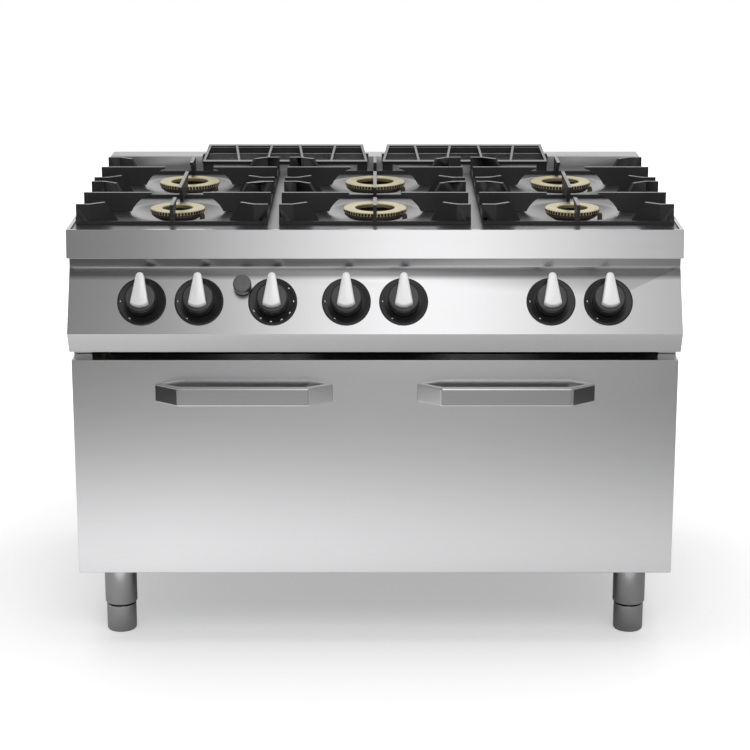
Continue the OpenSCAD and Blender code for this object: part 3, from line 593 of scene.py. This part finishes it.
# %% [markdown]
# ## Knobs
# Each knob is turned about its own joint, so its place comes from that joint: z points out of the
# panel and y goes up the slope. A black body with a grey face carries the pointer.

# %% Where the knobs are
knob_names = [f"knob_{k}" for k in range(1, 8)]


def panel_turn(joint):
    """The sloping panel's directions: x along the range, y up the slope, z out of the panel."""
    out = Vector(joint["axis"]).normalized()
    if out.y > 0:
        out = -out
    along = Vector((1, 0, 0))
    up = out.cross(along)
    return Matrix((along, up, out)).transposed().to_4x4()


knob_place = {}
for name in knob_names:
    joint = joints[name + "_turn"]
    knob_place[name] = Matrix.Translation(Vector(joint["pos_m"])) @ panel_turn(joint)
print("knobs at", [round(m.translation.x, 3) for m in knob_place.values()])

# %% [markdown]
# ## Knob pieces
# The body and the face are turned. The pointer is a wedge with a round tip and a gently curved end,
# built in levels that step inwards so that its rim is round.

# %% Knob bodies, faces and pointers
KNOB_R, KNOB_LOW, KNOB_TOP = 31.5 * MM, 8.5 * MM, 33.5 * MM
POINTER_TOP = 50.5 * MM


def knob_body(name):
    corners = [(6 * MM, KNOB_LOW), (KNOB_R, KNOB_LOW), (KNOB_R, KNOB_LOW + 7 * MM),
        (KNOB_R - 1.0 * MM, KNOB_TOP), (6 * MM, KNOB_TOP)]
    body = lathe(name + "_body", rounded(corners, 1.6 * MM, 4), knob_place[name], 96)
    finish_piece(body, name, "black_plastic", [black], name)


def knob_face(name):
    corners = [(0.2 * MM, KNOB_TOP - 0.5 * MM), (KNOB_R - 3.6 * MM, KNOB_TOP - 0.5 * MM),
        (KNOB_R - 3.6 * MM, KNOB_TOP + 0.25 * MM), (0.2 * MM, KNOB_TOP + 0.25 * MM)]
    face = lathe(name + "_face", rounded(corners, 0.2 * MM, 2), knob_place[name], 96)
    finish_piece(face, name, "grey_plastic", [grey_face])


def pointer_outline(inset):
    tip_r, half, low, high = 8 * MM, 17.5 * MM, -21 * MM, 46 * MM
    end = 6 * MM
    bend = (half ** 2 + end ** 2) / (2 * end)
    reach = math.asin(half / bend)
    tip = [(math.cos(a) * (tip_r - inset), high - tip_r + math.sin(a) * (tip_r - inset))
        for a in (math.pi * k / 16 for k in range(17))]
    arc = [(math.sin(a) * (bend - inset), low + bend - math.cos(a) * (bend - inset))
        for a in (-reach + 2 * reach * k / 14 for k in range(15))]
    arc = [(x * (1 - inset / half), y) for x, y in arc]
    return tip + arc


def pointer(name):
    """A light wedge with a rounded rim, a little higher along its middle."""
    levels = [(0.0, KNOB_TOP + 0.1 * MM), (0.0, POINTER_TOP - 2.2 * MM),
        (0.35 * MM, POINTER_TOP - 1.1 * MM), (1.1 * MM, POINTER_TOP - 0.35 * MM),
        (2.2 * MM, POINTER_TOP)]
    mesh = bpy.data.meshes.new(name + "_pointer")
    points, faces = [], []
    for inset, z in levels:
        points += [knob_place[name] @ Vector((x, y, z)) for x, y in pointer_outline(inset)]
    count = len(points) // len(levels)
    for level in range(len(levels) - 1):
        a, b = level * count, (level + 1) * count
        for k in range(count):
            m = (k + 1) % count
            faces.append((a + k, a + m, b + m, b + k))
    faces.append(tuple(reversed(range(count))))
    faces.append(tuple(range(count * (len(levels) - 1), count * len(levels))))
    mesh.from_pydata([tuple(p) for p in points], [], faces)
    smooth(mesh, 40)
    piece = bpy.data.objects.new(name + "_pointer", mesh)
    finish_piece(piece, name, "grey_plastic", [pointer_white])


for name in knob_names:
    knob_body(name)
    knob_face(name)
    pointer(name)
print("made", len(knob_names), "knobs")

# %% [markdown]
# ## Dial plates
# The plates stay still while the knobs turn. They are black, slightly dished, and carry plain dots:
# off, full and low flame on a burner's plate, and a row of heat steps on the oven's.

# %% Dial plates and their dots
DIAL_R, DIAL_T = 48 * MM, 4 * MM
burner_marks = (0, 90, 147)
oven_marks = (0, 118, 146, 176, 206, 236, 270, 310)


def dial_plate(name):
    corners = [(12.2 * MM, 0.1 * MM), (DIAL_R, 0.1 * MM), (DIAL_R, DIAL_T - 1.4 * MM),
        (DIAL_R - 1.8 * MM, DIAL_T), (DIAL_R - 5 * MM, DIAL_T - 0.4 * MM),
        (KNOB_R + 3 * MM, DIAL_T - 1.4 * MM), (12.2 * MM, DIAL_T - 1.5 * MM)]
    return lathe("plate_" + name, rounded(corners, 0.8 * MM, 3), knob_place[name], 112)


def dial_dot(name, turn, size):
    at = 42 * MM
    a = math.radians(90 + turn)
    top = DIAL_T - 0.75 * MM
    corners = [(0.05 * MM, top - 0.4 * MM), (size, top - 0.4 * MM), (size, top + 0.25 * MM),
        (0.05 * MM, top + 0.25 * MM)]
    here = knob_place[name] @ Matrix.Translation((at * math.cos(a), at * math.sin(a), 0))
    return lathe("dot", rounded(corners, 0.15 * MM, 2), here, 16)


finish_piece(joined("dial_plates", [dial_plate(name) for name in knob_names]), "root",
    "black_plastic", [black], "knob_dials")
dots = []
for name in knob_names:
    marks = oven_marks if name == "knob_3" else burner_marks
    for turn in marks:
        size = 1.0 if turn == 0 else 2.3 if marks == oven_marks else 1.9
        dots.append(dial_dot(name, turn, size * MM))
dot_count = len(dots)
finish_piece(joined("dial_dots", dots), "root", "grey_plastic", [mark_white])
print("made", dot_count, "dots on", len(knob_names), "plates")

# %% [markdown]
# ## Igniter
# A round grey button between two knobs. It slides along its own joint, so its middle is found from the
# frame node's outer face.

# %% Igniter button
button_turn = panel_turn(joints["igniter_push"])
out = button_turn.col[2].to_3d()
button_top = max(v.co @ out for v in nodes["igniter_button"].data.vertices)
wide = [v.co for v in nodes["igniter_button"].data.vertices if v.co @ out > button_top - 1 * MM]
middle = sum(wide, Vector()) / len(wide)
BUTTON_R, BUTTON_TALL = 18 * MM, 28 * MM
button_place = Matrix.Translation(middle - out * BUTTON_TALL) @ button_turn
corners = [(1 * MM, 6 * MM), (BUTTON_R, 6 * MM), (BUTTON_R, 24 * MM),
    (BUTTON_R - 1.4 * MM, BUTTON_TALL), (0.2 * MM, BUTTON_TALL), (0.2 * MM, 6 * MM)]
button = lathe("button", rounded(corners, 1.6 * MM, 4), button_place, 96)
finish_piece(button, "igniter_button", "grey_plastic", [button_grey], "igniter_button")
corners = [(0.2 * MM, 27.4 * MM), (14.5 * MM, 27.4 * MM), (14.5 * MM, 27.98 * MM),
    (0.2 * MM, 27.98 * MM)]
button_face = lathe("button_face", rounded(corners, 0.2 * MM, 2), button_place, 96)
finish_piece(button_face, "igniter_button", "grey_plastic", [button_grey])
print("made the igniter button")

# %% [markdown]
# ## Legs
# A polished tube with a foot that screws into it. Both are turned, with a small chamfer where the
# tube ends and a soft edge where the foot meets the floor.

# %% Legs and feet
leg_names = ("front_left", "front_right", "rear_left", "rear_right")
TUBE_R, TUBE_TOP = 33 * MM, 161 * MM
FOOT_R, FOOT_TALL, STEM_R, STEM_TOP = 30.5 * MM, 57 * MM, 8 * MM, 119 * MM
tube_low, tube_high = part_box("leg_tubes")
tubes = []
for name in leg_names:
    low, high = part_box("foot_" + name)
    at = Matrix.Translation(((low.x + high.x) / 2, (low.y + high.y) / 2, 0))
    bottom = tube_low.z
    corners = [(9 * MM, bottom), (TUBE_R - 2 * MM, bottom), (TUBE_R, bottom + 2.4 * MM),
        (TUBE_R, TUBE_TOP), (9 * MM, TUBE_TOP)]
    tubes.append(lathe("tube", rounded(corners, 0.7 * MM, 3), at, 96))
    corners = [(0.3 * MM, 0), (FOOT_R - 2 * MM, 0), (FOOT_R, 3 * MM), (FOOT_R, FOOT_TALL),
        (STEM_R, FOOT_TALL), (STEM_R, STEM_TOP), (0.3 * MM, STEM_TOP)]
    foot = lathe("foot_" + name + "_turned", rounded(corners, 1.2 * MM, 4), at, 96)
    finish_piece(foot, "foot_" + name, "polished_steel", [leg_steel], "foot_" + name)
finish_piece(joined("tubes", tubes), "root", "polished_steel", [leg_steel], "leg_tubes")
print("made", len(leg_names), "legs")

# %% [markdown]
# ## The pieces that keep their shape
# What is left is inside, or plain enough that the frame's own shape is right. Each only needs its
# finish, which goes into the node's material slots.

# %% Finishes for the remaining nodes
finishes = {
    zinc_steel: ["base_frame", "burner_venturis", "gas_manifold", "gas_inlet",
        "hinge_brackets", "door_hinge_arms", "oven_burner", "oven_flue_duct"],
    liner_steel: ["oven_cavity", "door_inner_panel"],
    chrome: ["rack_runners", "oven_rack", "panel_screws"] + [
        f"valve_spindle_{k}" for k in range(1, 8)],
    brass: ["gas_valves"],
    burner_iron: ["pilot_burners"],
    copper: ["supply_pipes"],
    black: ["igniter_body"],
    wool: ["oven_insulation", "door_insulation"],
    seal: ["door_gasket"],
}
for material, names in finishes.items():
    for name in names:
        mesh = nodes[name].data
        mesh.materials.clear()
        mesh.materials.append(material)
print("finished", sum(len(names) for names in finishes.values()), "nodes")

# %% [markdown]
# ## Floor
# Steel shows its surroundings, so the studio is drawn with care. The floor is pale, and what the
# steel mirrors of it grows darker away from the range. It glows a little, more so further off, so that
# it turns white and still keeps the range's shadow.


# %% Floor
FLOOR_STOPS = ((0.0, 0.20), (0.35, 0.38), (0.62, 0.80), (0.84, 0.95), (0.90, 0.62))
SIDE_STOPS = ((0.0, 0.45), (0.20, 0.5), (0.30, 0.9), (0.42, 1.0), (0.60, 0.72), (0.70, 0.52),
    (1.0, 0.42))
NEAR_STOPS = ((0.0, 0.0), (0.6, 1.0), (0.84, 1.0), (0.94, 0.0))
FLOOR_GREY = (0.86, 0.86, 0.86, 1)
FLOOR_GLOW = 0.345
NEAR_GLOW = 0.36
SHADOW_R, WHITE_R = 0.8, 2.2
FLOOR_REACH = 12.0


def flat(name, corners, material):
    mesh = bpy.data.meshes.new(name)
    mesh.from_pydata(corners, [], [tuple(range(len(corners)))])
    piece = bpy.data.objects.new(name, mesh)
    mesh.materials.append(material)
    bpy.context.scene.collection.objects.link(piece)
    return piece


def floor_material():
    """White to the camera, with the shadow kept. In the steel it darkens away from the range."""
    graph = Graph("floor", roughness=0.9)
    seen = graph.ray("Is Camera Ray")
    along = graph.ramp(1, hob_front - 2.4, hob_front, FLOOR_STOPS)
    across = graph.ramp(0, -3.0, 3.0, SIDE_STOPS)
    mirrored = along * across
    colour = graph.node("ShaderNodeMix", {"data_type": "RGBA"}, {
        "Factor": seen, 6: mirrored, 7: FLOOR_GREY}, output=2)
    point = graph.node("ShaderNodeTexCoord", output="Object")
    away = graph.node("ShaderNodeVectorMath", {"operation": "LENGTH"}, {0: point}, output=1)
    far = graph.node("ShaderNodeMapRange", {"interpolation_type": "SMOOTHSTEP"}, {
        "Value": away, "From Min": SHADOW_R, "From Max": WHITE_R})
    white = far * (1.0 - FLOOR_GLOW) + FLOOR_GLOW
    # Close ahead of the range the floor also glows a little to every ray but the camera's, so the
    # steel mirrors a bright patch there.
    near = graph.ramp(1, hob_front - 1.3, hob_front - 0.2, NEAR_STOPS)
    hidden = (1 - seen) * near * across * NEAR_GLOW
    graph.set(base_color=colour, emission_color=seen * white + hidden, emission_strength=1.0)
    return graph.material


flat("floor", [(-FLOOR_REACH, -FLOOR_REACH, 0), (FLOOR_REACH, -FLOOR_REACH, 0),
    (FLOOR_REACH, FLOOR_REACH, 0), (-FLOOR_REACH, FLOOR_REACH, 0)], floor_material())
print("laid the floor")

# %% [markdown]
# ## Cards
# Glowing cards are seen only in the steel: one ahead of the range for the fascia, one above for the
# sloping panel, and one behind for the hob. The first two run from grey at the left to white right of
# the middle. Two dark flags on the floor blacken the outer ends of the handles.


# %% Cards seen only in the steel
def card(name, corners, width, stops, level):
    graph = Graph(name, base_color=(0, 0, 0, 1), roughness=1.0)
    light = graph.ramp(0, -width / 2, width / 2, stops)
    graph.set(emission_color=light, emission_strength=level)
    piece = flat(name, corners, graph.material)
    piece.visible_camera = False
    piece.visible_diffuse = False
    piece.visible_shadow = False
    return piece


SHADES = ((0.0, 0.16), (0.18, 0.24), (0.36, 0.62), (0.54, 1.0), (0.64, 0.98), (0.84, 0.55),
    (1.0, 0.35))
front_y = hob_front - 2.6
card("front card", [(-1.7, front_y, 0.02), (1.7, front_y, 0.02), (1.7, front_y, 1.2),
    (-1.7, front_y, 1.2)], 2.3, SHADES, 1.15)
card("upper card", [(-1.6, front_y, 1.9), (1.6, front_y, 1.9),
    (1.6, hob_front - 1.2, 3.4), (-1.6, hob_front - 1.2, 3.4)], 2.1, SHADES, 1.36)
FLAG = ((0.14, 0.0), (0.20, 0.15), (0.25, 0.34), (0.75, 0.34), (0.80, 0.15), (0.86, 0.0))
near_y, far_y = hob_front + 0.1, hob_front - 0.85
for name, x_in, x_out in (("left flag", -1.45, -3.2), ("right flag", 1.45, 3.2)):
    card(name, [(x_in, far_y, 0.003), (x_out, far_y, 0.003), (x_out, near_y, 0.003),
        (x_in, near_y, 0.003)], 6, FLAG, 1.0)
card("back card", [(-3, 3, 0.4), (3, 3, 0.4), (3, 3, 3.2), (-3, 3, 3.2)], 6,
    ((0.0, 0.5), (0.5, 1.0), (1.0, 0.7)), 0.85)
print("hung the cards and flags")

# %% [markdown]
# ## Lamps
# Two large lamps light the range, and the steel doesn't mirror them. The sky is white to the camera,
# and dimmer in its light and in the steel.


# %% Lamps and world
def lamp(name, place, aim, size, watts):
    data = bpy.data.lights.new(name, "AREA")
    data.shape = "RECTANGLE"
    data.size, data.size_y = size
    data.energy = watts
    light = bpy.data.objects.new(name, data)
    light.location = place
    light.rotation_euler = (Vector(aim) - Vector(place)).to_track_quat("-Z", "Y").to_euler()
    light.visible_glossy = False
    bpy.context.scene.collection.objects.link(light)
    return light


lamp("front_soft", (0.6, -3.0, 3.0), (0, 0, 0.4), (3.0, 1.6), 36)
lamp("top_soft", (0, 0.2, 3.6), (0, 0, 0.8), (4.0, 3.0), 60)

SKY_LIGHT, SKY_DROP = 0.45, 0.10
sky = SkyGraph("studio")
sky_level = sky.ray("Is Camera Ray") * (1.0 - SKY_LIGHT) + SKY_LIGHT
sky.set(color=sky_level - sky.ray("Is Glossy Ray") * SKY_DROP, strength=1.0)
bpy.context.scene.world = sky.world
bpy.context.scene.view_settings.view_transform = "Standard"
print("lit by", len(bpy.data.lights), "lamps")
